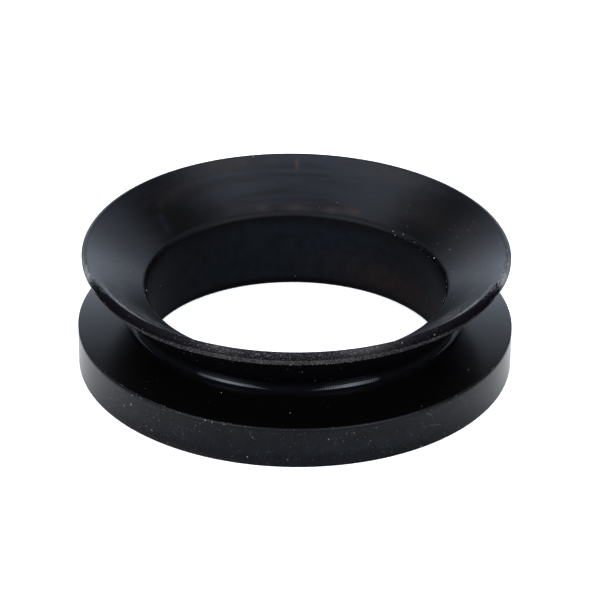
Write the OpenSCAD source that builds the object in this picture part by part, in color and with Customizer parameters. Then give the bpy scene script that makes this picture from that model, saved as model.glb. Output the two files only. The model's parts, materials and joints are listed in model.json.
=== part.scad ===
// V-ring: an axial face seal, moulded in one piece of rubber.
// The bore stretches over a shaft and grips it, and the flared lip runs against a face square to the shaft.
// The origin is the centre of the flat back face, and +Z is the axis, towards the lip.
// All sizes are those of the free ring, in millimetres.

/* [Body] */
// Outside diameter of the body
body_d = 26; // [24:0.1:34]
// Bore diameter, before the ring is stretched over its shaft
bore_d = 18; // [13:0.1:19.5]
// Height of the body's outer wall, up to its front edge
wall_h = 2.55; // [1.5:0.05:3.4]
// Rise of the body's front face towards the groove, in degrees
face_rise = 10; // [0:0.5:16]
// Round on the outer edges of the body
edge_round = 0.12; // [0.02:0.01:0.6]
// Round on the back edge of the bore, which leads the shaft in
lead_round = 0.36; // [0.1:0.01:1.2]

/* [Hinge] */
// Wall between the bore and the root of the groove, on which the lip bends
hinge_wall = 0.7; // [0.4:0.05:1.4]
// Radius of the groove's root
root_round = 0.45; // [0.15:0.01:0.7]
// Height at which the bore ends and the inner cone of the lip begins
bore_h = 4.95; // [4.4:0.05:5.6]

/* [Lip] */
// Height of the ring, from the back face to the nose of the lip
ring_h = 7.33; // [6.7:0.01:9]
// Largest diameter of the lip, at its nose
lip_d = 25.6; // [24.6:0.1:30]
// Round on the nose of the lip
nose_round = 0.2; // [0.05:0.01:0.3]
// Width of the trimmed land below the nose
land_w = 0.75; // [0.2:0.05:1.2]
// Slope of the land against the axis, in degrees
land_slope = 34; // [10:1:45]

/* [Hidden] */
$fn = 240;
rubber_colour = "#1b1d21";

// The section is drawn in the half plane (radius, height)
bore_r = bore_d / 2;
body_r = body_d / 2;

// Centres of the section's rounds. The front edge turns from the upright wall into the rising face.
front_edge_run = edge_round * tan((90 - face_rise) / 2);
lead_centre = [bore_r + lead_round, lead_round];
back_edge_centre = [body_r - edge_round, edge_round];
front_edge_centre = [body_r - edge_round, wall_h - front_edge_run];
nose_centre = [lip_d / 2 - nose_round, ring_h - nose_round];

// The root's round sits on the hinge wall and touches the body's rising front face
root_x = bore_r + hinge_wall + root_round;
root_centre = [root_x, wall_h + (body_r - root_x) * tan(face_rise) + root_round / cos(face_rise)];

// The lip: its inner cone starts at the end of the bore, and its underside ends at the foot of the land
bore_end = [bore_r, bore_h];
land_top = on_round(nose_centre, nose_round, -land_slope);
land_foot = land_top - land_w * [sin(land_slope), cos(land_slope)];
cone_touch = touch_angle(bore_end, nose_centre, nose_round, -1);
underside_touch = touch_angle(land_foot, root_centre, root_round, 1);

// Point of a round at an angle, in degrees from the outward radius
function on_round(centre, radius, angle) = centre + radius * [cos(angle), sin(angle)];

// Angle at which a line from an outside point touches a round, on side +1 or -1 of the line to its centre
function touch_angle(point, centre, radius, side) =
    atan2(point[1] - centre[1], point[0] - centre[0]) + side * acos(radius / norm(point - centre));

module disc(centre, radius) {
    translate(centre) circle(r = radius);
}

// Straight walls of the section, with a chord across each round
module walls() {
    polygon([
        [bore_r, lead_centre[1]],
        [lead_centre[0], 0],
        [back_edge_centre[0], 0],
        [body_r, back_edge_centre[1]],
        [body_r, front_edge_centre[1]],
        on_round(front_edge_centre, edge_round, 90 - face_rise),
        on_round(root_centre, root_round, -90 - face_rise),
        on_round(root_centre, root_round, underside_touch),
        land_foot,
        land_top,
        on_round(nose_centre, nose_round, cone_touch),
        bore_end
    ]);
}

// Outside rounds fill out their chords, and the round of the groove's root is cut in behind its chord
module section() {
    difference() {
        union() {
            walls();
            disc(lead_centre, lead_round);
            disc(back_edge_centre, edge_round);
            disc(front_edge_centre, edge_round);
            disc(nose_centre, nose_round);
        }
        disc(root_centre, root_round);
    }
}

module v_ring() {
    color(rubber_colour) rotate_extrude() section();
}

v_ring();
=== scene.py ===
"""V-ring: the looks of a moulded rubber shaft seal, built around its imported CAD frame.

The ring is one surface of revolution on the CAD solid's own section, with the small faults of a moulded and
trimmed piece of rubber, and loose dust lies on it. Sizes are in millimetres until a mesh is written.
Angles round the axis are in degrees from +X, counter-clockwise from above: 270 faces the camera.
"""

import json
import logging
import math
from dataclasses import dataclass
from enum import Enum, IntEnum

import bpy
import numpy as np
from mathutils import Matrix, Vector
from numpy.typing import NDArray


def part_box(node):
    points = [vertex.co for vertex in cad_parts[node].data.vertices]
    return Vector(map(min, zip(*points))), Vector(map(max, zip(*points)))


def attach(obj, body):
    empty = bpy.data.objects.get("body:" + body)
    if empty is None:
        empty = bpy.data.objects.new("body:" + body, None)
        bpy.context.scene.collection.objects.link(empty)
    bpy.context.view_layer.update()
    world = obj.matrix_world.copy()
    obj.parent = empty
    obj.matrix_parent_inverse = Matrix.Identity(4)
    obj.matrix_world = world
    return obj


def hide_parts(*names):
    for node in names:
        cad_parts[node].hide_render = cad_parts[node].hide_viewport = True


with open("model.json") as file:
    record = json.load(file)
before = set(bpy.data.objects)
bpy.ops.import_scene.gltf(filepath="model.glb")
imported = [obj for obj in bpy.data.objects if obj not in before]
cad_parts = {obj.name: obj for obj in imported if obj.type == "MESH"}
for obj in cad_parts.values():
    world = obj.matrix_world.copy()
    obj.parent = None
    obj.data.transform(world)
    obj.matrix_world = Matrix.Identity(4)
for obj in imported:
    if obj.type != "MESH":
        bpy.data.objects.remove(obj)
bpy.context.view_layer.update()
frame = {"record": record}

MM = 0.001
FloatArray = NDArray[np.float64]
log = logging.getLogger("v_ring")


class Zone(IntEnum):
    """Stretches of the ring's section, in the order in which the section is walked."""

    BORE_END = 0
    BORE = 1
    LEAD = 2
    BACK = 3
    BACK_EDGE = 4
    WALL = 5
    FRONT_EDGE = 6
    FACE = 7
    ROOT = 8
    UNDERSIDE = 9
    LAND_FOOT = 10
    LAND = 11
    NOSE = 12
    CONE = 13


class Mask(Enum):
    """Float attributes on the ring's mesh that tell its finishes what lies where."""

    BLOOM = "bloom"
    CHATTER = "chatter"
    DUST = "dust"
    FILM = "film"
    LINES = "lines"
    ROUGHNESS = "roughness"


def linear(hex_colour: str) -> tuple[float, float, float, float]:
    """Turn an sRGB colour into linear light.

    Args:
        hex_colour: colour as "#rrggbb".

    Returns:
        Linear red, green, blue and an alpha of 1.
    """
    parts = np.array([int(hex_colour[i:i + 2], 16) for i in (1, 3, 5)]) / 255.0
    light = np.where(parts <= 0.04045, parts / 12.92, ((parts + 0.055) / 1.055) ** 2.4)
    return (*light.tolist(), 1.0)


def feed(tree: bpy.types.NodeTree, socket: bpy.types.NodeSocket, value: object) -> None:
    """Set an input's own value, or link it.

    Args:
        tree: node tree that holds the input.
        socket: the input.
        value: a plain value, an output, or a node, which stands for its first output in use.
    """
    if isinstance(value, bpy.types.Node):
        value = next(output for output in value.outputs if output.enabled)
    if isinstance(value, bpy.types.NodeSocket):
        tree.links.new(value, socket)
    else:
        socket.default_value = value


def add_node(
    tree: bpy.types.NodeTree,
    kind: str,
    inputs: tuple[object, ...] | dict[str, object] = (),
    **settings: object,
) -> bpy.types.Node:
    """Add one node with its settings, values and links.

    Args:
        tree: node tree that takes the node.
        kind: type of node, as Blender names it after "ShaderNode".
        inputs: what feeds the inputs in use, in their order or by their names.
        settings: properties of the node itself.

    Returns:
        The new node.
    """
    made = tree.nodes.new("ShaderNode" + kind)
    for name, value in settings.items():
        setattr(made, name, value)
    sockets = [socket for socket in made.inputs if socket.enabled]
    if isinstance(inputs, dict):
        sockets = [next(socket for socket in sockets if socket.name == name) for name in inputs]
        inputs = tuple(inputs.values())
    for socket, value in zip(sockets, inputs):
        feed(tree, socket, value)
    return made


def smooth_step(value: FloatArray, start: float, end: float) -> FloatArray:
    """Rise from 0 at the start to 1 at the end, as 3 t squared less 2 t cubed."""
    share = np.clip((value - start) / (end - start), 0.0, 1.0)
    return share * share * (3.0 - 2.0 * share)


def straight(start: FloatArray, end: FloatArray, count: int, bow: float = 0.0) -> FloatArray:
    """Points of a straight stretch: equal steps from its start, without its end.

    A stretch may bow outwards, by a parabola that is 0 at its ends and the bow in the middle.

    Args:
        start: first point (radius, height).
        end: point at which the next stretch begins.
        count: number of points.
        bow: rise of the middle above the straight line.

    Returns:
        Points, one a row.
    """
    share = np.arange(count)[:, None] / count
    along = (np.asarray(end) - start) / np.hypot(*(np.asarray(end) - start))
    outward = np.array([along[1], -along[0]])
    return (1.0 - share) * start + share * end + 4.0 * bow * share * (1.0 - share) * outward


def rounded(centre: FloatArray, radius: float, start: float, end: float, count: int) -> FloatArray:
    """Points of a round: its centre plus its radius times (cos a, sin a), for equal steps of the angle a.

    Args:
        centre: centre of the round.
        radius: radius of the round.
        start: angle of its first point, in radians.
        end: angle at which the next stretch begins.
        count: number of points.

    Returns:
        Points, one a row.
    """
    angle = start + (end - start) * np.arange(count) / count
    return np.asarray(centre) + radius * np.stack([np.cos(angle), np.sin(angle)], axis=-1)


def on_round(centre: FloatArray, radius: float, angle: float) -> FloatArray:
    """Point of a round at an angle in radians."""
    return np.asarray(centre) + radius * np.array([math.cos(angle), math.sin(angle)])


def touch_angle(point: FloatArray, centre: FloatArray, radius: float, side: int) -> float:
    """Angle at which a line from an outside point touches a round.

    Args:
        point: the outside point.
        centre: centre of the round.
        radius: radius of the round.
        side: +1 or -1, the side of the line from the centre to the point.

    Returns:
        The angle in radians: the point's own direction, turned by the arc cosine of radius over distance.
    """
    reach = np.asarray(point) - np.asarray(centre)
    return math.atan2(reach[1], reach[0]) + side * math.acos(radius / np.hypot(*reach))


def grid_faces(rows: int, columns: int, closed: bool = False) -> NDArray[np.int64]:
    """Faces of a grid of points that closes round its columns.

    Args:
        rows: number of rows of points.
        columns: number of points in a row.
        closed: whether the last row joins the first.

    Returns:
        Four corners a face, as places in the rows one after another, in the order of the rows.
    """
    row = np.arange(rows if closed else rows - 1)[:, None]
    column = np.arange(columns)[None, :]
    here, below = row * columns, (row + 1) % rows * columns
    beside = (column + 1) % columns
    corners = np.broadcast_arrays(here + column, here + beside, below + beside, below + column)
    return np.stack(corners, axis=-1).reshape(-1, 4)


@dataclass(frozen=True)
class Corner:
    """A sharp corner of the section, broken by a small round that touches both of its legs."""

    before: FloatArray
    point: FloatArray
    after: FloatArray
    radius: float

    def legs(self) -> tuple[FloatArray, FloatArray, float]:
        """Unit vectors along both legs, and half of the angle between them."""
        back = (self.before - self.point) / np.hypot(*(self.before - self.point))
        on = (self.after - self.point) / np.hypot(*(self.after - self.point))
        return back, on, 0.5 * math.acos(float(back @ on))

    def start(self) -> FloatArray:
        """Point at which the round leaves the first leg."""
        back, _, half = self.legs()
        return self.point + back * self.radius / math.tan(half)

    def end(self) -> FloatArray:
        """Point at which the round joins the second leg."""
        _, on, half = self.legs()
        return self.point + on * self.radius / math.tan(half)

    def points(self, count: int) -> FloatArray:
        """Points of the round, from the first leg to the second.

        Args:
            count: number of points.

        Returns:
            Points, one a row.
        """
        back, on, half = self.legs()
        middle = (back + on) / np.hypot(*(back + on))
        centre = self.point + middle * self.radius / math.sin(half)
        first = self.start() - centre
        last = self.end() - centre
        start = math.atan2(first[1], first[0])
        turn = math.atan2(first[0] * last[1] - first[1] * last[0], float(first @ last))
        return rounded(centre, self.radius, start, start + turn, count)


@dataclass(frozen=True)
class Walk:
    """Points once round the section, with the stretch that each belongs to."""

    points: FloatArray
    zones: NDArray[np.int64]

    def lengths(self) -> FloatArray:
        """Distance walked at each point, with the whole way round as one more value."""
        ahead = np.roll(self.points, -1, axis=0) - self.points
        return np.concatenate([[0.0], np.cumsum(np.hypot(ahead[:, 0], ahead[:, 1]))])

    def normals(self) -> FloatArray:
        """Outward unit normals: the chord between a point's neighbours, turned right by a quarter."""
        chord = np.roll(self.points, -1, axis=0) - np.roll(self.points, 1, axis=0)
        chord /= np.hypot(chord[:, 0], chord[:, 1])[:, None]
        return np.stack([chord[:, 1], -chord[:, 0]], axis=-1)

    def span(self, zone: Zone) -> tuple[float, float]:
        """Distances walked at the start and the end of a stretch."""
        places = np.flatnonzero(self.zones == zone)
        lengths = self.lengths()
        return float(lengths[places[0]]), float(lengths[places[-1] + 1])

    def at(self, distance: FloatArray) -> tuple[FloatArray, FloatArray]:
        """Points and outward normals of the section at distances walked.

        Args:
            distance: distances from the start of the walk.

        Returns:
            Points and unit normals, one a row, taken between the walk's own points.
        """
        lengths = self.lengths()
        closed = np.vstack([self.points, self.points[:1]])
        turned = np.vstack([self.normals(), self.normals()[:1]])
        point = np.stack([np.interp(distance, lengths, closed[:, k]) for k in (0, 1)], axis=-1)
        normal = np.stack([np.interp(distance, lengths, turned[:, k]) for k in (0, 1)], axis=-1)
        return point, normal / np.linalg.norm(normal, axis=-1, keepdims=True)


@dataclass(frozen=True)
class RingSection:
    """Section of the ring in the half plane of radius and height, with the CAD solid's sizes."""

    body_d: float
    bore_d: float
    ring_h: float
    wall_h: float = 2.55
    face_rise: float = math.radians(10.0)
    edge_round: float = 0.12
    lead_round: float = 0.36
    hinge_wall: float = 0.7
    root_round: float = 0.45
    bore_h: float = 4.95
    lip_d: float = 25.6
    land_slope: float = math.radians(34.0)
    # The tip as it was trimmed: within 0.06 of the solid's nose and land
    nose_round: float = 0.235
    nose_inset: float = 0.22
    nose_below: float = 0.2
    nose_on_cone: float = 0.06
    land_w: float = 0.53
    land_top_out: float = 0.004
    land_top_below: float = 0.354
    bore_end_round: float = 0.35
    land_foot_round: float = 0.04
    cone_bow: float = 0.02

    @classmethod
    def from_frame(cls) -> "RingSection":
        """Take the overall sizes from the frame: its box, and the bore that the record gives."""
        low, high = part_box("v_ring")
        bore = next(mount for mount in frame["record"]["mounts"] if mount["name"] == "bore")
        return cls(
            body_d=round((high.x - low.x) / MM, 2),
            bore_d=2.0 * bore["dims"]["r_mm"],
            ring_h=round(high.z / MM, 2),
        )

    def walk(self) -> Walk:
        """Walk round the section, counter-clockwise from the end of the bore.

        Straight stretches join rounds that they touch. The bore runs down to the back face, the wall runs up
        to the rising front face, and the groove's root leads to the lip's underside, its land and nose.

        Returns:
            Points and stretches of the section.
        """
        bore_r = self.bore_d / 2.0
        body_r = self.body_d / 2.0
        quarter = math.pi / 2.0
        front_run = self.edge_round * math.tan((quarter - self.face_rise) / 2.0)
        lead = np.array([bore_r + self.lead_round, self.lead_round])
        back_edge = np.array([body_r - self.edge_round, self.edge_round])
        front_edge = np.array([body_r - self.edge_round, self.wall_h - front_run])
        lip_r = self.lip_d / 2.0
        nose = np.array([lip_r - self.nose_inset, self.ring_h - self.nose_below])
        root_r = bore_r + self.hinge_wall + self.root_round
        face_z = self.wall_h + (body_r - root_r) * math.tan(self.face_rise)
        root = np.array([root_r, face_z + self.root_round / math.cos(self.face_rise)])

        bore_top = np.array([bore_r, self.bore_h])
        bore_foot = np.array([bore_r, lead[1]])
        land_top = np.array([lip_r + self.land_top_out, self.ring_h - self.land_top_below])
        land_down = np.array([math.sin(self.land_slope), math.cos(self.land_slope)])
        land_foot = land_top - self.land_w * land_down
        cone_touch = touch_angle(bore_top, nose, self.nose_round, -1) % math.tau
        nose_touch = touch_angle(land_top, nose, self.nose_round, 1)
        under_touch = touch_angle(land_foot, root, self.root_round, 1)
        nose_top = on_round(nose, self.nose_round, cone_touch)
        cone_top = nose_top + self.nose_on_cone * (bore_top - nose_top) / np.hypot(*(bore_top - nose_top))
        under_low = on_round(root, self.root_round, under_touch)
        root_start = 3.0 * quarter - self.face_rise
        face_in = on_round(root, self.root_round, root_start)
        face_out = on_round(front_edge, self.edge_round, quarter - self.face_rise)
        end = Corner(cone_top, bore_top, bore_foot, self.bore_end_round)
        foot = Corner(under_low, land_foot, land_top, self.land_foot_round)
        nose_parts = (
            straight(land_top, on_round(nose, self.nose_round, nose_touch), 3),
            rounded(nose, self.nose_round, nose_touch, cone_touch, 15),
            straight(nose_top, cone_top, 1),
        )

        stretches = {
            Zone.BORE_END: end.points(8),
            Zone.BORE: straight(end.end(), bore_foot, 14),
            Zone.LEAD: rounded(lead, self.lead_round, math.pi, 3.0 * quarter, 8),
            Zone.BACK: straight(np.array([lead[0], 0.0]), np.array([back_edge[0], 0.0]), 8),
            Zone.BACK_EDGE: rounded(back_edge, self.edge_round, -quarter, 0.0, 6),
            Zone.WALL: straight(np.array([body_r, back_edge[1]]), np.array([body_r, front_edge[1]]), 14),
            Zone.FRONT_EDGE: rounded(front_edge, self.edge_round, 0.0, quarter - self.face_rise, 6),
            Zone.FACE: straight(face_out, face_in, 18),
            Zone.ROOT: rounded(root, self.root_round, root_start, under_touch, 18),
            Zone.UNDERSIDE: straight(under_low, foot.start(), 18),
            Zone.LAND_FOOT: foot.points(6),
            Zone.LAND: straight(foot.end(), land_top, 8),
            Zone.NOSE: np.concatenate(nose_parts),
            Zone.CONE: straight(cone_top, end.start(), 28, self.cone_bow),
        }
        zones = [np.full(len(points), int(zone)) for zone, points in stretches.items()]
        return Walk(np.concatenate(list(stretches.values())), np.concatenate(zones))


@dataclass(frozen=True)
class Places:
    """Nodes that say where a point of the ring lies, in millimetres from the axis and the back face."""

    point: bpy.types.Node
    facing: bpy.types.Node
    radius: bpy.types.Node
    upright: bpy.types.Node
    angle: bpy.types.Node

    @classmethod
    def of(cls, tree: bpy.types.NodeTree) -> "Places":
        """Work out the places from Object coordinates.

        Args:
            tree: node tree that takes the nodes.

        Returns:
            The point, the direction from the axis, the radius, the height as a vector, and the angle.
        """
        own = add_node(tree, "TexCoord")
        point = add_node(tree, "VectorMath", (own.outputs["Object"], 1.0 / MM), operation="SCALE")
        flat, upright = (
            add_node(tree, "VectorMath", (point, kept), operation="MULTIPLY")
            for kept in ((1.0, 1.0, 0.0), (0.0, 0.0, 1.0))
        )
        facing, radius = (
            add_node(tree, "VectorMath", (flat,), operation=kind) for kind in ("NORMALIZE", "LENGTH")
        )
        split = add_node(tree, "SeparateXYZ", (point,))
        angle = add_node(tree, "Math", (split.outputs["Y"], split.outputs["X"]), operation="ARCTAN2")
        return cls(point, facing, radius, upright, angle)


@dataclass(frozen=True)
class Finish:
    """What a surface is made of: a name for its material, and what the material's shader takes."""

    name: str

    def inputs(self, tree: bpy.types.NodeTree, places: Places) -> dict[str, object]:
        """Values or nodes for the shader's inputs, by their names: each finish works out its own."""
        raise NotImplementedError

    def material(self) -> bpy.types.Material:
        """Build the node material.

        Returns:
            The material.
        """
        made = bpy.data.materials.new(self.name)
        made.use_nodes = True
        tree = made.node_tree
        shader = tree.nodes["Principled BSDF"]
        for name, value in self.inputs(tree, Places.of(tree)).items():
            feed(tree, shader.inputs[name], value)
        return made


@dataclass(frozen=True)
class MouldedRubber(Finish):
    """Black nitrile rubber as it leaves a turned steel mould.

    The eye sees a satin black that mirrors soft light, faint lines round the axis from the mould's turning,
    a bluish bloom that lies along those lines, and brownish dust where hands have not wiped it.
    """

    name: str = "moulded_nitrile_rubber"
    black: str = "#040303"
    bloom: str = "#191d22"
    film: str = "#2f221e"
    dust: str = "#77746f"
    ior: float = 1.2  # below the solid's 1.5: fine grain scatters mirrored light, except at a graze
    line_width: float = 0.45
    line_length: float = 6.0
    line_depth: float = 0.005
    line_bloom: float = 0.25
    line_range: tuple[float, float] = (0.42, 0.6)
    fine_width: float = 0.14
    fine_length: float = 5.0
    fine_depth: float = 0.0012
    grain_size: float = 0.11  # the real grain is nearer 0.03, and would not show
    grain_depth: float = 0.0010
    mottle_size: float = 2.6
    mottle_rough: float = 0.08
    film_size: float = 0.6
    film_range: tuple[float, float] = (0.15, 0.75)
    film_least: float = 0.4
    film_rough: float = 0.25
    dust_size: float = 0.12  # powder of 0.02 to 0.05, drawn as the clumps that show
    dust_range: tuple[float, float] = (0.89, 1.25)
    dust_most: float = 0.9
    dust_rough: float = 0.5
    chatter_pitch: float = 0.16
    chatter_depth: float = 0.0016
    mean_radius: float = 11.0

    def inputs(self, tree: bpy.types.NodeTree, places: Places) -> dict[str, object]:
        """Lay bloom, film and dust on the black, dull the skin under them, and raise its relief.

        Args:
            tree: node tree that takes the nodes.
            places: where a point of the ring lies.

        Returns:
            Values or nodes for the shader's inputs, by their names.
        """
        masks = {
            mask: add_node(tree, "Attribute", attribute_name=mask.value).outputs["Fac"]
            for mask in Mask
        }

        # Turning lines: noise in four dimensions, drawn out round the axis, so it has no seam
        lines, fine = (
            add_node(
                tree,
                "TexNoise",
                {
                    "Vector": add_node(
                        tree,
                        "VectorMath",
                        (places.facing, (self.mean_radius * width / length,) * 3, places.upright),
                        operation="MULTIPLY_ADD",
                    ),
                    "W": places.radius,
                    "Scale": 1.0 / width,
                    "Detail": 2.0,
                    "Roughness": 0.55,
                },
                noise_dimensions="4D",
            )
            for width, length in ((self.line_width, self.line_length), (self.fine_width, self.fine_length))
        )
        grain, mottle, clouds, powder = (
            add_node(
                tree,
                "TexNoise",
                {"Vector": places.point, "Scale": 1.0 / size, "Detail": detail, "Roughness": 0.6},
            )
            for size, detail in (
                (self.grain_size, 1.0), (self.mottle_size, 3.0), (self.film_size, 3.0), (self.dust_size, 2.0)
            )
        )

        # Bloom lies in the lines and in patches, film in patches, and dust where its mask outweighs a noise
        over = add_node(tree, "Math", (powder, masks[Mask.DUST]), operation="ADD")
        half_bloom = 0.5 * self.line_bloom
        dashes, patch, dust = (
            add_node(tree, "MapRange", values, interpolation_type="SMOOTHSTEP")
            for values in (
                (lines, *self.line_range, -half_bloom, half_bloom),
                (clouds, *self.film_range, self.film_least, 1.0),
                (over, *self.dust_range, 0.0, self.dust_most),
            )
        )
        haze, film = (
            add_node(tree, "Math", (patch, masks[mask]), operation="MULTIPLY")
            for mask in (Mask.BLOOM, Mask.FILM)
        )
        bloom = add_node(
            tree, "Math", (dashes, masks[Mask.LINES], haze), operation="MULTIPLY_ADD", use_clamp=True
        )
        colour = linear(self.black)
        for share, tone in ((bloom, self.bloom), (film, self.film), (dust, self.dust)):
            colour = add_node(tree, "Mix", (share, colour, linear(tone)), data_type="RGBA")

        # Roughness: the mould's own, uneven in soft patches, and duller under film and dust
        rough = masks[Mask.ROUGHNESS]
        for share, rise in ((mottle, self.mottle_rough), (film, self.film_rough), (dust, self.dust_rough)):
            rough = add_node(tree, "Math", (share, rise, rough), operation="MULTIPLY_ADD")
        rough = add_node(tree, "Math", (rough, 0.5 * self.mottle_rough), operation="SUBTRACT")

        # Relief in millimetres: turning lines, grain, and the cutter's chatter round the polished root
        waves = round(math.tau * self.mean_radius / self.chatter_pitch)
        turn = add_node(tree, "Math", (places.angle, float(waves)), operation="MULTIPLY")
        ripple = add_node(tree, "Math", (turn,), operation="SINE")
        turned, chatter = (
            add_node(tree, "Math", (height, masks[mask]), operation="MULTIPLY")
            for height, mask in ((lines, Mask.LINES), (ripple, Mask.CHATTER))
        )
        relief = 0.0
        for height, depth in (
            (turned, self.line_depth),
            (fine, self.fine_depth),
            (grain, self.grain_depth),
            (chatter, self.chatter_depth),
        ):
            relief = add_node(tree, "Math", (height, depth, relief), operation="MULTIPLY_ADD")
        bump = add_node(tree, "Bump", {"Height": relief, "Distance": MM})
        return {"Base Color": colour, "Roughness": rough, "IOR": self.ior, "Normal": bump}


@dataclass(frozen=True)
class TrimmedRubber(Finish):
    """Nitrile rubber where the lip was cut and buffed: a dull, open grain that holds grey dust."""

    name: str = "trimmed_nitrile_rubber"
    black: str = "#070609"
    veil: str = "#2f2b29"
    dust: str = "#6a6664"
    ior: float = 1.03  # lower than the moulded skin's: the torn grain mirrors next to nothing
    roughness: float = 0.55
    grain_size: float = 0.10
    grain_depth: float = 0.006
    grain_holds: float = 3.0
    patch_size: float = 4.0
    patch_holds: float = 0.9
    dust_range: tuple[float, float] = (2.15, 3.4)
    dust_most: float = 0.7

    def inputs(self, tree: bpy.types.NodeTree, places: Places) -> dict[str, object]:
        """Lay a thin veil on the rubber, and dust in its grain, thick in patches and wiped off in others.

        Args:
            tree: node tree that takes the nodes.
            places: where a point of the ring lies.

        Returns:
            Values or nodes for the shader's inputs, by their names.
        """
        film, held = (
            add_node(tree, "Attribute", attribute_name=mask.value).outputs["Fac"]
            for mask in (Mask.FILM, Mask.DUST)
        )
        grain, patch = (
            add_node(
                tree,
                "TexNoise",
                {"Vector": places.point, "Scale": 1.0 / size, "Detail": 2.0, "Roughness": 0.6},
            )
            for size in (self.grain_size, self.patch_size)
        )
        for noise, weight in ((patch, self.patch_holds), (grain, self.grain_holds)):
            held = add_node(tree, "Math", (noise, weight, held), operation="MULTIPLY_ADD")
        dust = add_node(
            tree, "MapRange", (held, *self.dust_range, 0.0, self.dust_most), interpolation_type="SMOOTHSTEP"
        )
        colour = linear(self.black)
        for share, tone in ((film, self.veil), (dust, self.dust)):
            colour = add_node(tree, "Mix", (share, colour, linear(tone)), data_type="RGBA")
        relief = add_node(tree, "Math", (grain, self.grain_depth), operation="MULTIPLY")
        bump = add_node(tree, "Bump", {"Height": relief, "Distance": MM})
        return {"Base Color": colour, "Roughness": self.roughness, "IOR": self.ior, "Normal": bump}


@dataclass(frozen=True)
class LooseDust(Finish):
    """Pale house dust: dull flakes, some greyer and some browner than others."""

    name: str = "loose_dust"
    pale: str = "#74726f"
    brown: str = "#564b43"
    roughness: float = 0.9
    patch_size: float = 0.7
    patch_range: tuple[float, float] = (0.45, 0.75)

    def inputs(self, tree: bpy.types.NodeTree, places: Places) -> dict[str, object]:
        """Turn from the pale to the brown colour in patches.

        Args:
            tree: node tree that takes the nodes.
            places: where a point of the dust lies.

        Returns:
            Values or nodes for the shader's inputs, by their names.
        """
        patch = add_node(
            tree, "TexNoise", {"Vector": places.point, "Scale": 1.0 / self.patch_size, "Detail": 1.0}
        )
        share = add_node(tree, "MapRange", (patch, *self.patch_range))
        colour = add_node(tree, "Mix", (share, linear(self.pale), linear(self.brown)), data_type="RGBA")
        return {"Base Color": colour, "Roughness": self.roughness}


def add_piece(name: str, points: FloatArray, faces: list[list[int]], *finishes: Finish) -> bpy.types.Object:
    """Write a smooth mesh and its object, which stands at the origin.

    Args:
        name: name of the mesh and the object.
        points: points in millimetres, in the order in which the faces count them.
        faces: corners of each face.
        finishes: finishes of the mesh, in the order of its material slots.

    Returns:
        The object.
    """
    mesh = bpy.data.meshes.new(name)
    mesh.from_pydata((points.reshape(-1, 3) * MM).tolist(), [], faces)
    mesh.shade_smooth()
    for finish in finishes:
        mesh.materials.append(finish.material())
    piece = bpy.data.objects.new(name, mesh)
    bpy.context.scene.collection.objects.link(piece)
    return piece


@dataclass(frozen=True)
class Smudge:
    """A soft-edged patch on the ring, centred at an angle, radius and height."""

    angle: float
    radius: float
    height: float
    around: float
    across: float
    strength: float

    def weight(self, walk: Walk, angles: FloatArray) -> FloatArray:
        """Weight of the patch: its strength times a bell curve of the distances round and along the section.

        Args:
            walk: points of the section.
            angles: angles of the columns, in radians.

        Returns:
            Weights, one row for each point of the section and one column for each angle.
        """
        turn = (angles - math.radians(self.angle) + math.pi) % math.tau - math.pi
        centre = np.hypot(walk.points[:, 0] - self.radius, walk.points[:, 1] - self.height).argmin()
        lengths = walk.lengths()
        apart = np.abs(lengths[:-1] - lengths[centre])
        across = np.minimum(apart, lengths[-1] - apart)
        bell = (turn[None, :] * self.radius / self.around) ** 2 + (across[:, None] / self.across) ** 2
        return self.strength * np.exp(-bell)


# Brownish dust: along the end of the bore, on the rim at the back, low in the bore and at the foot
FILM_SMUDGES = (
    Smudge(103.0, 9.4, 5.2, 0.5, 0.22, 0.5),
    Smudge(90.0, 9.4, 5.2, 0.9, 0.2, 0.5),
    Smudge(77.0, 9.4, 5.2, 0.6, 0.2, 0.5),
    Smudge(68.0, 9.5, 5.3, 0.6, 0.25, 0.5),
    Smudge(90.0, 11.9, 6.9, 0.13, 0.5, 0.8),
    Smudge(111.0, 12.2, 7.1, 2.2, 0.5, 0.3),
    Smudge(60.0, 12.2, 7.1, 2.5, 0.5, 0.3),
    Smudge(45.0, 9.0, 1.3, 4.0, 1.0, 0.38),
    Smudge(235.0, 13.0, 0.1, 6.0, 0.2, 0.5),
    Smudge(268.0, 12.7, 7.25, 8.0, 0.45, 0.25),
    Smudge(251.0, 12.7, 7.25, 1.3, 0.4, 0.45),
    Smudge(289.0, 12.7, 7.25, 1.5, 0.4, 0.75),
    Smudge(8.0, 10.8, 6.2, 2.0, 1.0, 0.14),
    Smudge(42.0, 10.6, 6.0, 1.6, 0.9, 0.11),
    Smudge(22.0, 11.2, 6.4, 1.2, 0.8, 0.11),
    Smudge(130.0, 11.4, 6.5, 1.8, 0.6, 0.15),
)
# Bloom that hands have not rubbed off, on the front of the wall, and a curved scuff on the left of the cone;
# the last two take bloom off both sides of the cone, as painted shade
BLOOM_AND_SHADE_SMUDGES = (
    Smudge(282.0, 13.0, 1.2, 2.6, 0.35, 0.16),
    Smudge(45.0, 9.0, 1.3, 4.0, 1.0, -0.24),
    Smudge(241.0, 13.0, 1.5, 0.5, 0.8, 0.12),
    Smudge(135.0, 11.2, 6.4, 0.5, 0.22, 0.3),
    Smudge(139.0, 11.0, 6.3, 0.25, 0.35, 0.33),
    Smudge(142.0, 10.5, 5.95, 0.2, 0.4, 0.33),
    Smudge(143.5, 10.0, 5.63, 0.18, 0.35, 0.33),
    Smudge(144.0, 9.6, 5.35, 0.2, 0.25, 0.3),
    # painted shade: bloom taken off the cone on both sides, darkening it
    Smudge(136.0, 11.0, 6.3, 2.3, 3.0, -0.26),
    Smudge(30.0, 11.0, 6.3, 3.4, 3.0, -0.36),
)
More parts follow.
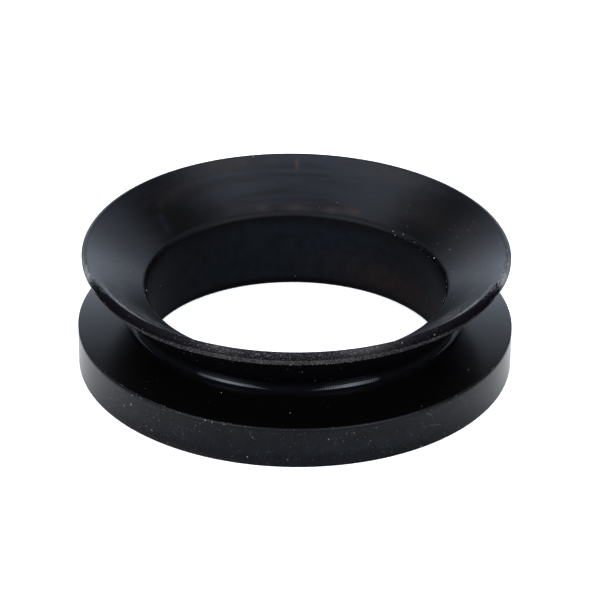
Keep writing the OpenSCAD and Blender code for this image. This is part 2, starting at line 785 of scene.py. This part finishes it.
# Pale powder on the front and the sides of the cone and on the nose, and two wiped places on the nose; the
# thin line along the cone's edge by the nose is partly dust and partly a painted highlight
DUST_AND_HIGHLIGHT_SMUDGES = (
    Smudge(221.0, 11.0, 6.3, 2.8, 2.5, 0.27),
    Smudge(204.0, 11.4, 6.6, 3.0, 2.0, 0.1),
    Smudge(321.0, 11.0, 6.3, 2.8, 2.5, 0.29),
    Smudge(338.0, 11.4, 6.6, 3.0, 2.0, 0.1),
    Smudge(182.0, 10.8, 6.2, 5.0, 3.5, 0.3),
    Smudge(358.0, 10.8, 6.2, 5.0, 3.5, 0.3),
    # thin pale line on the cone's edge by the nose: partly dust, partly a painted highlight
    Smudge(216.0, 12.2, 7.16, 4.5, 0.26, 0.35),
    Smudge(324.0, 12.2, 7.16, 4.5, 0.26, 0.3),
    Smudge(268.0, 12.7, 7.3, 8.0, 0.45, 0.02),
    Smudge(251.0, 12.7, 7.3, 1.5, 0.4, 0.2),
    Smudge(289.0, 12.7, 7.3, 1.7, 0.4, 0.2),
    Smudge(270.0, 11.0, 6.3, 8.0, 2.5, 0.4),
    Smudge(215.0, 12.78, 7.2, 2.6, 0.4, -0.9),
    Smudge(325.0, 12.78, 7.2, 2.6, 0.4, -0.9),
    Smudge(198.0, 12.75, 7.2, 1.4, 0.4, 0.6),
    Smudge(342.0, 12.75, 7.2, 1.4, 0.4, 0.62),
    Smudge(187.0, 12.75, 7.2, 1.6, 0.4, 0.32),
    Smudge(353.0, 12.75, 7.2, 1.6, 0.4, 0.34),
)


@dataclass
class RubberRing:
    """The ring: one closed surface of revolution, with the faults of moulding and trimming."""

    section: RingSection
    around: int = 512
    lip_from: float = 2.9
    lip_to: float = 4.9
    lip_forward: float = 0.05
    lip_oval: float = 0.08
    lip_three: float = 0.044
    ragged_depth: float = 0.03
    ragged_reach: float = 0.10
    buffed_from: float = math.radians(17.0)
    buffed_full: float = math.radians(31.0)
    end_from: float = math.radians(42.0)
    end_full: float = math.radians(14.0)
    end_trimmed: float = 0.9
    cone_bloom_at_nose: float = 0.34
    cone_bloom_at_bore: float = 0.05
    lines_at: float = 1.7
    lines_reach: float = 0.7
    lines_worn: float = 0.2
    bore_wiped_from: float = 4.0
    bore_wiped_to: float = 4.7
    bore_wiped: float = 0.6
    plain_rough: float = 0.3
    bake_margin: float = 0.004
    seed: int = 11

    def __post_init__(self) -> None:
        """Walk the section once, and set out the angles of the columns."""
        self.walk = self.section.walk()
        self.angles = np.arange(self.around) * math.tau / self.around

    def raggedness(self) -> FloatArray:
        """Uneven height of the trimmed edge round the ring: a sum of cosines with seeded phases.

        Returns:
            One value for each column, of about -1 to 1.
        """
        draw = np.random.default_rng(self.seed)
        waves = np.concatenate([np.arange(3, 12), np.arange(40, 170, 5)])
        phases = draw.uniform(0.0, math.tau, len(waves))
        sizes = draw.uniform(0.4, 1.0, len(waves))
        total = (sizes[:, None] * np.cos(np.outer(waves, self.angles) + phases[:, None])).sum(axis=0)
        return total / np.abs(total).max()

    def place(self, radius: FloatArray, height: FloatArray, angle: FloatArray) -> FloatArray:
        """Carry points of the section round the axis.

        The point at angle t is (r cos t, r sin t, height). On the soft lip r is the radius less the oval's
        cos 2t, plus a weaker cos 3t, and the point moves forward. Both rise smoothly from body to lip.

        Args:
            radius: radii in the section.
            height: heights in the section.
            angle: angles round the axis, in radians.

        Returns:
            Points in millimetres, in the arrays' common shape.
        """
        lip = smooth_step(height, self.lip_from, self.lip_to)
        out = radius + lip * (self.lip_three * np.cos(3.0 * angle) - self.lip_oval * np.cos(2.0 * angle))
        deep = out * np.sin(angle) - lip * self.lip_forward
        return np.stack(np.broadcast_arrays(out * np.cos(angle), deep, height), axis=-1)

    def surface(self) -> FloatArray:
        """Work out the surface: the section's points carried round the axis.

        The trimmed foot of the land stands out along its normal by the raggedness, under a bell curve of the
        distance from the foot.

        Returns:
            Points in millimetres, one row for each point of the section and one column for each angle.
        """
        radius, height = self.walk.points[:, :1], self.walk.points[:, 1:]
        foot = self.walk.points[self.walk.zones == Zone.LAND_FOOT].mean(axis=0)
        reach = np.hypot(radius - foot[0], height - foot[1]) / self.ragged_reach
        rise = self.ragged_depth * np.exp(-reach * reach) * self.raggedness()
        normal = self.walk.normals()
        return self.place(radius + rise * normal[:, :1], height + rise * normal[:, 1:], self.angles)

    def spread(self, levels: dict[Zone, float | FloatArray], plain: float = 0.0) -> FloatArray:
        """Spread levels over the ring.

        Args:
            levels: level of each stretch, for all columns at once or for each.
            plain: level of the other stretches.

        Returns:
            One row for each point of the section and one column for each angle.
        """
        total = np.full((len(self.walk.zones), self.around), plain)
        for zone, level in levels.items():
            total[self.walk.zones == zone] = level
        return total

    def trimmed(self) -> NDArray[np.bool_]:
        """Faces dulled by buffing: the lip's underside and land, and parts of its nose and the bore's end.

        On the way to a dulled side, a growing share of the faces is dulled, by a seeded draw.

        Returns:
            One row for each point of the section and one column for each angle.
        """
        draw = np.random.default_rng(self.seed).uniform(0.0, 1.0, (len(self.walk.zones), self.around))
        front, side = -np.sin(self.angles), np.abs(np.cos(self.angles))
        nose = smooth_step(front, math.sin(self.buffed_from), math.sin(self.buffed_full))
        end = self.end_trimmed * smooth_step(side, math.cos(self.end_from), math.cos(self.end_full))
        whole = dict.fromkeys((Zone.UNDERSIDE, Zone.LAND_FOOT, Zone.LAND), 1.0)
        return draw < self.spread(whole | {Zone.NOSE: nose, Zone.BORE_END: end})

    def mask_values(self) -> dict[Mask, FloatArray]:
        """Weights of what lies on the rubber and of its polish: a level for each stretch, plus the smudges.

        Returns:
            For each mask, one row for each point of the section and one column for each angle.
        """
        values = {
            Mask.BLOOM: self.spread({Zone.BORE: 0.4, Zone.WALL: 0.36, Zone.BACK: 0.65, Zone.ROOT: 0.1}),
            Mask.CHATTER: self.spread({Zone.ROOT: 1.0}),
            Mask.DUST: self.spread(
                {
                    Zone.BORE_END: -0.6,
                    Zone.UNDERSIDE: -0.6,
                    Zone.LAND_FOOT: 0.75,
                    Zone.LAND: 0.62,
                    Zone.FRONT_EDGE: 0.26,
                    Zone.WALL: 0.27,
                }
            ),
            Mask.FILM: self.spread({}),
            Mask.LINES: self.spread({Zone.CONE: 1.0, Zone.BORE: 0.1, Zone.WALL: 0.35, Zone.BACK: 0.5}),
            Mask.ROUGHNESS: self.spread(
                {
                    Zone.BORE_END: 0.6,
                    Zone.BORE: 0.33,
                    Zone.FRONT_EDGE: 0.5,
                    Zone.FACE: 0.22,
                    Zone.ROOT: 0.075,
                    Zone.NOSE: 0.31,
                    Zone.CONE: 0.295,
                },
                self.plain_rough,
            ),
        }
        smudges = {Mask.BLOOM: BLOOM_AND_SHADE_SMUDGES, Mask.FILM: FILM_SMUDGES, Mask.DUST: DUST_AND_HIGHLIGHT_SMUDGES}
        for mask, patches in smudges.items():
            for smudge in patches:
                values[mask] += smudge.weight(self.walk, self.angles)
        # On the cone the bloom falls from nose to bore, so the cone darkens towards the bore; its lines are
        # worn away but at the back, and the bore's bloom ends below its edge
        cone = self.walk.zones == Zone.CONE
        share = np.linspace(0.0, 1.0, cone.sum())[:, None]
        values[Mask.BLOOM][cone] += (1.0 - share) * self.cone_bloom_at_nose + share * self.cone_bloom_at_bore
        left = np.exp(-(((self.angles - self.lines_at) / self.lines_reach) ** 2))
        values[Mask.LINES][cone] *= self.lines_worn + (1.0 - self.lines_worn) * left
        bore = self.walk.zones == Zone.BORE
        wiped = smooth_step(self.walk.points[bore, 1:], self.bore_wiped_from, self.bore_wiped_to)
        values[Mask.BLOOM][bore] *= 1.0 - self.bore_wiped * wiped
        return values

    def unrolled(self) -> FloatArray:
        """Map of the ring for baking: the unrolled surface in two halves, one above the other.

        Returns:
            Map coordinates of each face's four corners, in the order of the faces and their corners.
        """
        columns = np.arange(self.around)
        half = columns // (self.around // 2)
        left = 2.0 * columns / self.around - half
        right = left + 2.0 / self.around
        lengths = self.walk.lengths() / self.walk.lengths()[-1]
        low, high = lengths[:-1, None], lengths[1:, None]
        inside = 1.0 - 2.0 * self.bake_margin
        across = [self.bake_margin + inside * side for side in (left, right, right, left)]
        up = [0.5 * (half + self.bake_margin + inside * side) for side in (low, low, high, high)]
        corners = [np.stack(np.broadcast_arrays(u[None, :], v), axis=-1) for u, v in zip(across, up)]
        return np.stack(corners, axis=2)

    def build(self) -> bpy.types.Object:
        """Write the ring's mesh and dress it.

        Returns:
            The ring's object, which stands for the CAD node.
        """
        points = self.surface()
        faces = grid_faces(*points.shape[:2], closed=True)
        ring = add_piece("v_ring_rubber", points, faces.tolist(), MouldedRubber(), TrimmedRubber())
        mesh = ring.data
        down = np.roll(points, -1, axis=0) - np.roll(points, 1, axis=0)
        round_about = np.roll(points, -1, axis=1) - np.roll(points, 1, axis=1)
        normals = np.cross(round_about, down)
        normals /= np.linalg.norm(normals, axis=-1, keepdims=True)
        mesh.normals_split_custom_set_from_vertices(normals.reshape(-1, 3).tolist())

        for mask, values in self.mask_values().items():
            attribute = mesh.attributes.new(mask.value, "FLOAT", "POINT")
            attribute.data.foreach_set("value", values.ravel().astype(np.float32))
        bake_map = mesh.uv_layers.new(name="OFBake")
        bake_map.data.foreach_set("uv", self.unrolled().ravel().astype(np.float32))
        mesh.polygons.foreach_set("material_index", self.trimmed().ravel().astype(np.int32))
        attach(ring, "root")
        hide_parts("v_ring")
        return ring


@dataclass(frozen=True)
class DustFall:
    """Dust on one stretch: how many flakes, how far to both sides of an angle, and how large."""

    zone: Zone
    count: int
    angle: float = 0.0
    spread: float = 180.0
    size: float = 0.013


@dataclass
class DustSpecks:
    """Loose dust on the ring: small closed flakes that lie on its surface."""

    ring: RubberRing
    falls: tuple[DustFall, ...] = (
        DustFall(Zone.WALL, 240, size=0.009),
        DustFall(Zone.WALL, 70, size=0.015),
        DustFall(Zone.WALL, 40, 232.0, 14.0),
        DustFall(Zone.FRONT_EDGE, 50),
        DustFall(Zone.FRONT_EDGE, 30, 238.0, 16.0),
        DustFall(Zone.FACE, 40),
        DustFall(Zone.CONE, 40),
        DustFall(Zone.CONE, 25, 10.0, 45.0),
        DustFall(Zone.CONE, 40, 200.0, 30.0),
        DustFall(Zone.BORE, 8),
        DustFall(Zone.BORE_END, 9, 28.0, 24.0, 0.028),
        DustFall(Zone.BORE_END, 6, 352.0, 12.0, 0.028),
        DustFall(Zone.BORE_END, 4, 185.0, 22.0, 0.028),
        DustFall(Zone.UNDERSIDE, 40),
        DustFall(Zone.UNDERSIDE, 30, 262.0, 24.0),
        DustFall(Zone.LAND_FOOT, 120),
        DustFall(Zone.LAND_FOOT, 50, 262.0, 30.0),
        DustFall(Zone.LAND, 160),
        DustFall(Zone.NOSE, 120),
    )
    meridians: int = 6
    bands: int = 4
    size_spread: float = 0.5
    size_range: tuple[float, float] = (0.006, 0.05)
    breadth: tuple[float, float] = (0.7, 1.6)
    thickness: tuple[float, float] = (0.35, 0.6)
    lumps: tuple[float, float] = (0.75, 1.2)
    rise: float = 0.25
    seed: int = 23

    def places(self) -> tuple[FloatArray, FloatArray, FloatArray]:
        """Draw where the flakes lie and how large they are.

        Returns:
            Angles in radians, distances walked along the section, and half sizes in millimetres.
        """
        draw = np.random.default_rng(self.seed)
        walk = self.ring.walk
        distance = np.concatenate([draw.uniform(*walk.span(fall.zone), fall.count) for fall in self.falls])
        sides = [fall.angle + fall.spread * draw.uniform(-1.0, 1.0, fall.count) for fall in self.falls]
        median = np.concatenate([np.full(fall.count, fall.size) for fall in self.falls])
        size = np.clip(median * draw.lognormal(0.0, self.size_spread, len(median)), *self.size_range)
        return np.radians(np.concatenate(sides)), distance, size

    def build(self) -> bpy.types.Object:
        """Write all flakes as one mesh.

        A flake is a flattened ball: at longitude u and latitude v it is a cos v cos u round the ring,
        b cos v sin u across the section and c sin v outwards, with each point pushed in or out a little.

        Returns:
            The dust's object.
        """
        angle, distance, size = self.places()
        draw = np.random.default_rng(self.seed + 1)
        count = len(angle)
        point, normal = self.ring.walk.at(distance)
        radial = np.stack([np.cos(angle), np.sin(angle), np.zeros(count)], axis=-1)
        along = np.stack([-np.sin(angle), np.cos(angle), np.zeros(count)], axis=-1)
        axis = np.array([0.0, 0.0, 1.0])
        outward = normal[:, :1] * radial + normal[:, 1:] * axis
        across = np.cross(outward, along)
        centre = self.ring.place(point[:, 0], point[:, 1], angle)

        longitude = np.arange(self.meridians) * math.tau / self.meridians
        latitude = np.linspace(-math.pi / 2.0, math.pi / 2.0, self.bands + 1)[1:-1]
        u, v = np.meshgrid(longitude, latitude)
        ball = np.stack([np.cos(v) * np.cos(u), np.cos(v) * np.sin(u), np.sin(v)], axis=-1).reshape(-1, 3)
        ball = np.vstack([[0.0, 0.0, -1.0], ball, [0.0, 0.0, 1.0]])
        ranges = (self.breadth, self.breadth, self.thickness)
        stretch = size[:, None] * np.stack([draw.uniform(*span, count) for span in ranges], axis=-1)
        lumps = draw.uniform(*self.lumps, (count, len(ball), 1))
        local = ball[None] * stretch[:, None, :] * lumps
        basis = np.stack([along, across, outward], axis=1)
        lifted = centre + self.rise * size[:, None] * outward
        points = lifted[:, None, :] + local @ basis

        rings = self.bands - 1
        top = len(ball) - 1
        first = 1 + np.arange(self.meridians)
        last = first + (rings - 1) * self.meridians
        bottom_caps = np.stack([np.zeros_like(first), np.roll(first, -1), first], axis=-1)
        top_caps = np.stack([last, np.roll(last, -1), np.full_like(last, top)], axis=-1)
        offset = np.arange(count)[:, None, None] * len(ball)
        quads = (1 + grid_faces(rings, self.meridians)[None] + offset).reshape(-1, 4)
        triangles = (np.vstack([bottom_caps, top_caps])[None] + offset).reshape(-1, 3)
        specks = add_piece("dust_specks", points, quads.tolist() + triangles.tolist(), LooseDust())
        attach(specks, "root")
        return specks


@dataclass(frozen=True)
class Fibre:
    """A hair of lint on one stretch, bent through three places: the angle, and the share of the stretch."""

    zone: Zone
    start: tuple[float, float]
    middle: tuple[float, float]
    end: tuple[float, float]


@dataclass
class LintFibres:
    """Lint on the ring: a few short, thin hairs on the wall."""

    ring: RubberRing
    fibres: tuple[Fibre, ...] = (
        Fibre(Zone.WALL, (305.6, 0.92), (307.3, 0.81), (308.0, 0.63)),
        Fibre(Zone.WALL, (304.6, 0.58), (305.0, 0.55), (305.5, 0.53)),
        Fibre(Zone.WALL, (307.4, 0.51), (309.6, 0.46), (310.8, 0.38)),
    )
    radius: float = 0.007
    steps: int = 24
    sides: int = 6

    def build(self) -> bpy.types.Object:
        """Write all fibres as one mesh.

        A fibre is a circle carried along a path. The path is the parabola through the three places, and the
        circle at angle u is the path plus the radius times cos u outwards and sin u sideways.

        Returns:
            The lint's object.
        """
        share = np.linspace(0.0, 1.0, self.steps)
        weights = np.stack(
            [
                (1.0 - share) * (1.0 - 2.0 * share),
                4.0 * share * (1.0 - share),
                share * (2.0 * share - 1.0),
            ],
            axis=-1,
        )
        places = np.array([(fibre.start, fibre.middle, fibre.end) for fibre in self.fibres])
        path = np.einsum("sk,fkc->fsc", weights, places)
        angle = np.radians(path[..., 0])
        spans = np.array([self.ring.walk.span(fibre.zone) for fibre in self.fibres])[:, :, None]
        point, normal = self.ring.walk.at(spans[:, 0] + (spans[:, 1] - spans[:, 0]) * path[..., 1])
        outward = np.stack(
            [normal[..., 0] * np.cos(angle), normal[..., 0] * np.sin(angle), normal[..., 1]], axis=-1
        )
        centre = self.ring.place(point[..., 0], point[..., 1], angle) + 0.5 * self.radius * outward
        tangent = np.gradient(centre, axis=1)
        sideways = np.cross(tangent, outward)
        sideways /= np.linalg.norm(sideways, axis=-1, keepdims=True)
        turn = np.arange(self.sides) * math.tau / self.sides
        circle = (
            np.cos(turn)[:, None] * outward[:, :, None, :] + np.sin(turn)[:, None] * sideways[:, :, None, :]
        )
        points = centre[:, :, None, :] + self.radius * circle

        fibre = np.arange(len(self.fibres))[:, None] * self.steps * self.sides
        outward_order = [0, 3, 2, 1]
        walls = fibre[:, :, None] + grid_faces(self.steps, self.sides)[:, outward_order]
        start_caps = fibre + np.arange(self.sides)
        end_caps = start_caps[:, ::-1] + (self.steps - 1) * self.sides
        faces = walls.reshape(-1, 4).tolist() + start_caps.tolist() + end_caps.tolist()
        cotton = LooseDust("cotton_lint", "#4c4b4a", "#3d3b39", patch_size=0.3)
        lint = add_piece("lint_fibres", points, faces, cotton)
        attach(lint, "root")
        return lint


def part_rays(tree: bpy.types.NodeTree, output: str, lights: bpy.types.Node, seen: bpy.types.Node) -> None:
    """Let the camera see one shader, while another lights the ring and is mirrored in it.

    Args:
        tree: node tree of a material or of the world.
        output: name of the tree's output node.
        lights: shader for all rays but the camera's.
        seen: shader that the camera sees.
    """
    path = add_node(tree, "LightPath")
    mixed = add_node(tree, "MixShader", (path.outputs["Is Camera Ray"], lights, seen))
    feed(tree, tree.nodes[output].inputs["Surface"], mixed)


@dataclass(frozen=True)
class Softbox:
    """A soft studio light that faces the ring, placed by its direction and given by its brightness."""

    name: str
    azimuth: float  # degrees from straight behind the ring, to the right
    elevation: float
    width: float
    height: float
    brightness: float
    colour: str = "#dce8fb"
    distance: float = 500.0
    turn: float = 0.0  # degrees about its own axis
    power: float = 4.0  # watts a square metre, for a brightness of 1
    mirrored_only: bool = False  # shows in mirrored light alone, and leaves dust and haze as they are

    def build(self) -> bpy.types.Object:
        """Place the light.

        Returns:
            The light's object.
        """
        data = bpy.data.lights.new(self.name, "AREA")
        data.shape = "RECTANGLE"
        data.size = self.width * MM
        data.size_y = self.height * MM
        data.energy = self.power * self.brightness * data.size * data.size_y
        data.color = linear(self.colour)[:3]
        light = bpy.data.objects.new(self.name, data)
        bpy.context.scene.collection.objects.link(light)
        azimuth, elevation = math.radians(self.azimuth), math.radians(self.elevation)
        away = Vector(
            (
                math.sin(azimuth) * math.cos(elevation),
                math.cos(azimuth) * math.cos(elevation),
                math.sin(elevation),
            )
        )
        light.location = away * self.distance * MM
        light.rotation_euler = away.to_track_quat("Z", "Y").to_euler()
        light.rotation_euler.rotate_axis("Z", math.radians(self.turn))
        light.visible_camera = False
        light.visible_diffuse = not self.mirrored_only
        return light


@dataclass(frozen=True)
class LitAcrylic(Finish):
    """White acrylic with light in it.

    The camera sees plain white with a faint shadow. The ring mirrors the acrylic's glow, which carries a
    painted
    shadow: it is masked under the ring, but for a trace in its hole, shaded in front of it and lit only near
    it.
    """

    name: str = "white_acrylic_light_table"
    white: str = "#ececec"
    tint: str = "#f0f3f9"
    glow: float = 2.05
    seen: float = 0.5
    roughness: float = 0.9
    # the glow's painted shadow: its centre, where it ends in front and under the ring, and how far out it
    # reaches
    shade_centre: tuple[float, float, float] = (0.0, -4.0, 0.0)
    shade_from: float = 8.0
    shade_to: float = 16.0
    shadow_under_from: float = 12.0
    shadow_under_to: float = 13.2
    hole: float = 0.16
    fade_from: float = 16.0
    fade_to: float = 25.0

    def inputs(self, tree: bpy.types.NodeTree, places: Places) -> dict[str, object]:
        """Mix the glow in for all rays but the camera's, which meet a matt white.

        Args:
            tree: node tree that takes the nodes.
            places: where a point of the table lies.

        Returns:
            Values or nodes for the inputs of the matt white, by their names.
        """
        # Painted shadow and pool of light in the glow: dark in front of the ring and under it, and ending a
        # little way out
        off = add_node(
            tree, "VectorMath", (places.point, self.shade_centre), operation="DISTANCE"
        )
        shade, mask, fade = (
            add_node(tree, "MapRange", (value, start, end, 0.0, top), interpolation_type="SMOOTHSTEP")
            for value, start, end, top in (
                (off, self.shade_from, self.shade_to, self.glow),
                (places.radius, self.shadow_under_from, self.shadow_under_to, 1.0),
                (places.radius, self.fade_to, self.fade_from, 1.0),
            )
        )
        lit = add_node(tree, "Math", (shade, mask), operation="MULTIPLY")
        light = add_node(tree, "Math", (lit, fade, self.hole), operation="MULTIPLY_ADD")
        glow = add_node(tree, "Emission", {"Color": linear(self.tint), "Strength": light})
        part_rays(tree, "Material Output", glow, tree.nodes["Principled BSDF"])
        return {
            "Base Color": linear(self.white),
            "Roughness": self.roughness,
            "Specular IOR Level": 0.0,
            "Emission Color": linear("#ffffff"),
            "Emission Strength": self.seen,
        }


@dataclass(frozen=True)
class LightTable:
    """Table of lit acrylic, the floor of the studio."""

    radius: float = 3000.0
    drop: float = 0.01
    sides: int = 96

    def build(self) -> bpy.types.Object:
        """Build the table top as one flat disc.

        Returns:
            The table's object.
        """
        angle = np.arange(self.sides) * math.tau / self.sides
        rim = np.stack([np.cos(angle), np.sin(angle)], axis=-1) * self.radius
        points = np.column_stack([rim, np.full(self.sides, -self.drop)])
        table = add_piece("light_table", points, [list(range(self.sides))], LitAcrylic())
        table.active_material.cycles.emission_sampling = "NONE"
        return table


@dataclass(frozen=True)
class Studio:
    """Plain studio: a white light table, soft lights round it, and a dim room."""

    softboxes: tuple[Softbox, ...] = (
        Softbox("overhead", 346.0, 79.0, 520.0, 260.0, 4.7, turn=-18.0),
        Softbox("backdrop", 0.0, 5.0, 1400.0, 420.0, 2.0, "#dde9fb", 700.0),
        Softbox("back_key", 0.0, 25.0, 360.0, 160.0, 1.4),
        Softbox("back_left", 319.0, 27.0, 220.0, 140.0, 1.0),
        Softbox("back_right", 41.0, 27.0, 220.0, 140.0, 1.2),
        Softbox("front_left", 224.5, 28.0, 248.0, 212.0, 17.5),
        Softbox("front_right", 142.0, 33.0, 215.0, 212.0, 17.5),
        Softbox("low_left", 225.5, 8.0, 230.0, 150.0, 17.0, mirrored_only=True),
        Softbox("low_right", 142.0, 9.0, 200.0, 160.0, 17.0, mirrored_only=True),
    )
    room: float = 0.15
    room_colour: str = "#dbe6f3"
    table: LightTable = LightTable()

    def build(self) -> list[bpy.types.Object]:
        """Build the lights, the room and the floor.

        Returns:
            The floor and the lights.
        """
        world = bpy.data.worlds.new("studio_room")
        bpy.context.scene.world = world
        world.use_nodes = True
        tree = world.node_tree
        room = tree.nodes["Background"]
        room.inputs["Color"].default_value = linear(self.room_colour)
        room.inputs["Strength"].default_value = self.room
        white = add_node(tree, "Background", {"Color": linear("#ffffff"), "Strength": 1.0})
        part_rays(tree, "World Output", room, white)

        return [self.table.build()] + [softbox.build() for softbox in self.softboxes]


@dataclass(frozen=True)
class PhotoCamera:
    """Camera at the photograph's viewing angle: a long lens, a little above the ring."""

    lens: float = 189.58
    sensor: float = 36.0
    distance: float = 189.08
    elevation: float = math.radians(28.614)
    roll: float = math.radians(0.6)
    aim: tuple[float, float, float] = (0.284, 0.0, 3.782)
    near: float = 5.0
    far: float = 50000.0

    def build(self) -> bpy.types.Object:
        """Place the camera in front of the ring, on the -Y side, and make it the scene's own.

        Returns:
            The camera's object.
        """
        data = bpy.data.cameras.new("photo_camera")
        data.lens = self.lens
        data.sensor_width = self.sensor
        data.clip_start = self.near * MM
        data.clip_end = self.far * MM
        camera = bpy.data.objects.new("photo_camera", data)
        bpy.context.scene.collection.objects.link(camera)
        away = Vector((0.0, -math.cos(self.elevation), math.sin(self.elevation)))
        camera.location = (Vector(self.aim) + self.distance * away) * MM
        camera.rotation_euler = away.to_track_quat("Z", "Y").to_euler()
        camera.rotation_euler.rotate_axis("Z", self.roll)
        bpy.context.scene.camera = camera
        return camera


def main() -> None:
    """Build the ring, its dust and lint, the studio and the camera, in that order."""
    logging.basicConfig(level=logging.INFO, format="%(name)s: %(message)s")
    bpy.context.scene.view_settings.view_transform = "Standard"
    ring = RubberRing(RingSection.from_frame())
    for piece in (ring.build(), DustSpecks(ring).build(), LintFibres(ring).build()):
        log.info("%s: %d faces", piece.name, len(piece.data.polygons))
    for piece in Studio().build():
        log.info("%s stands in the studio", piece.name)
    PhotoCamera().build()


if __name__ == "__main__":
    main()
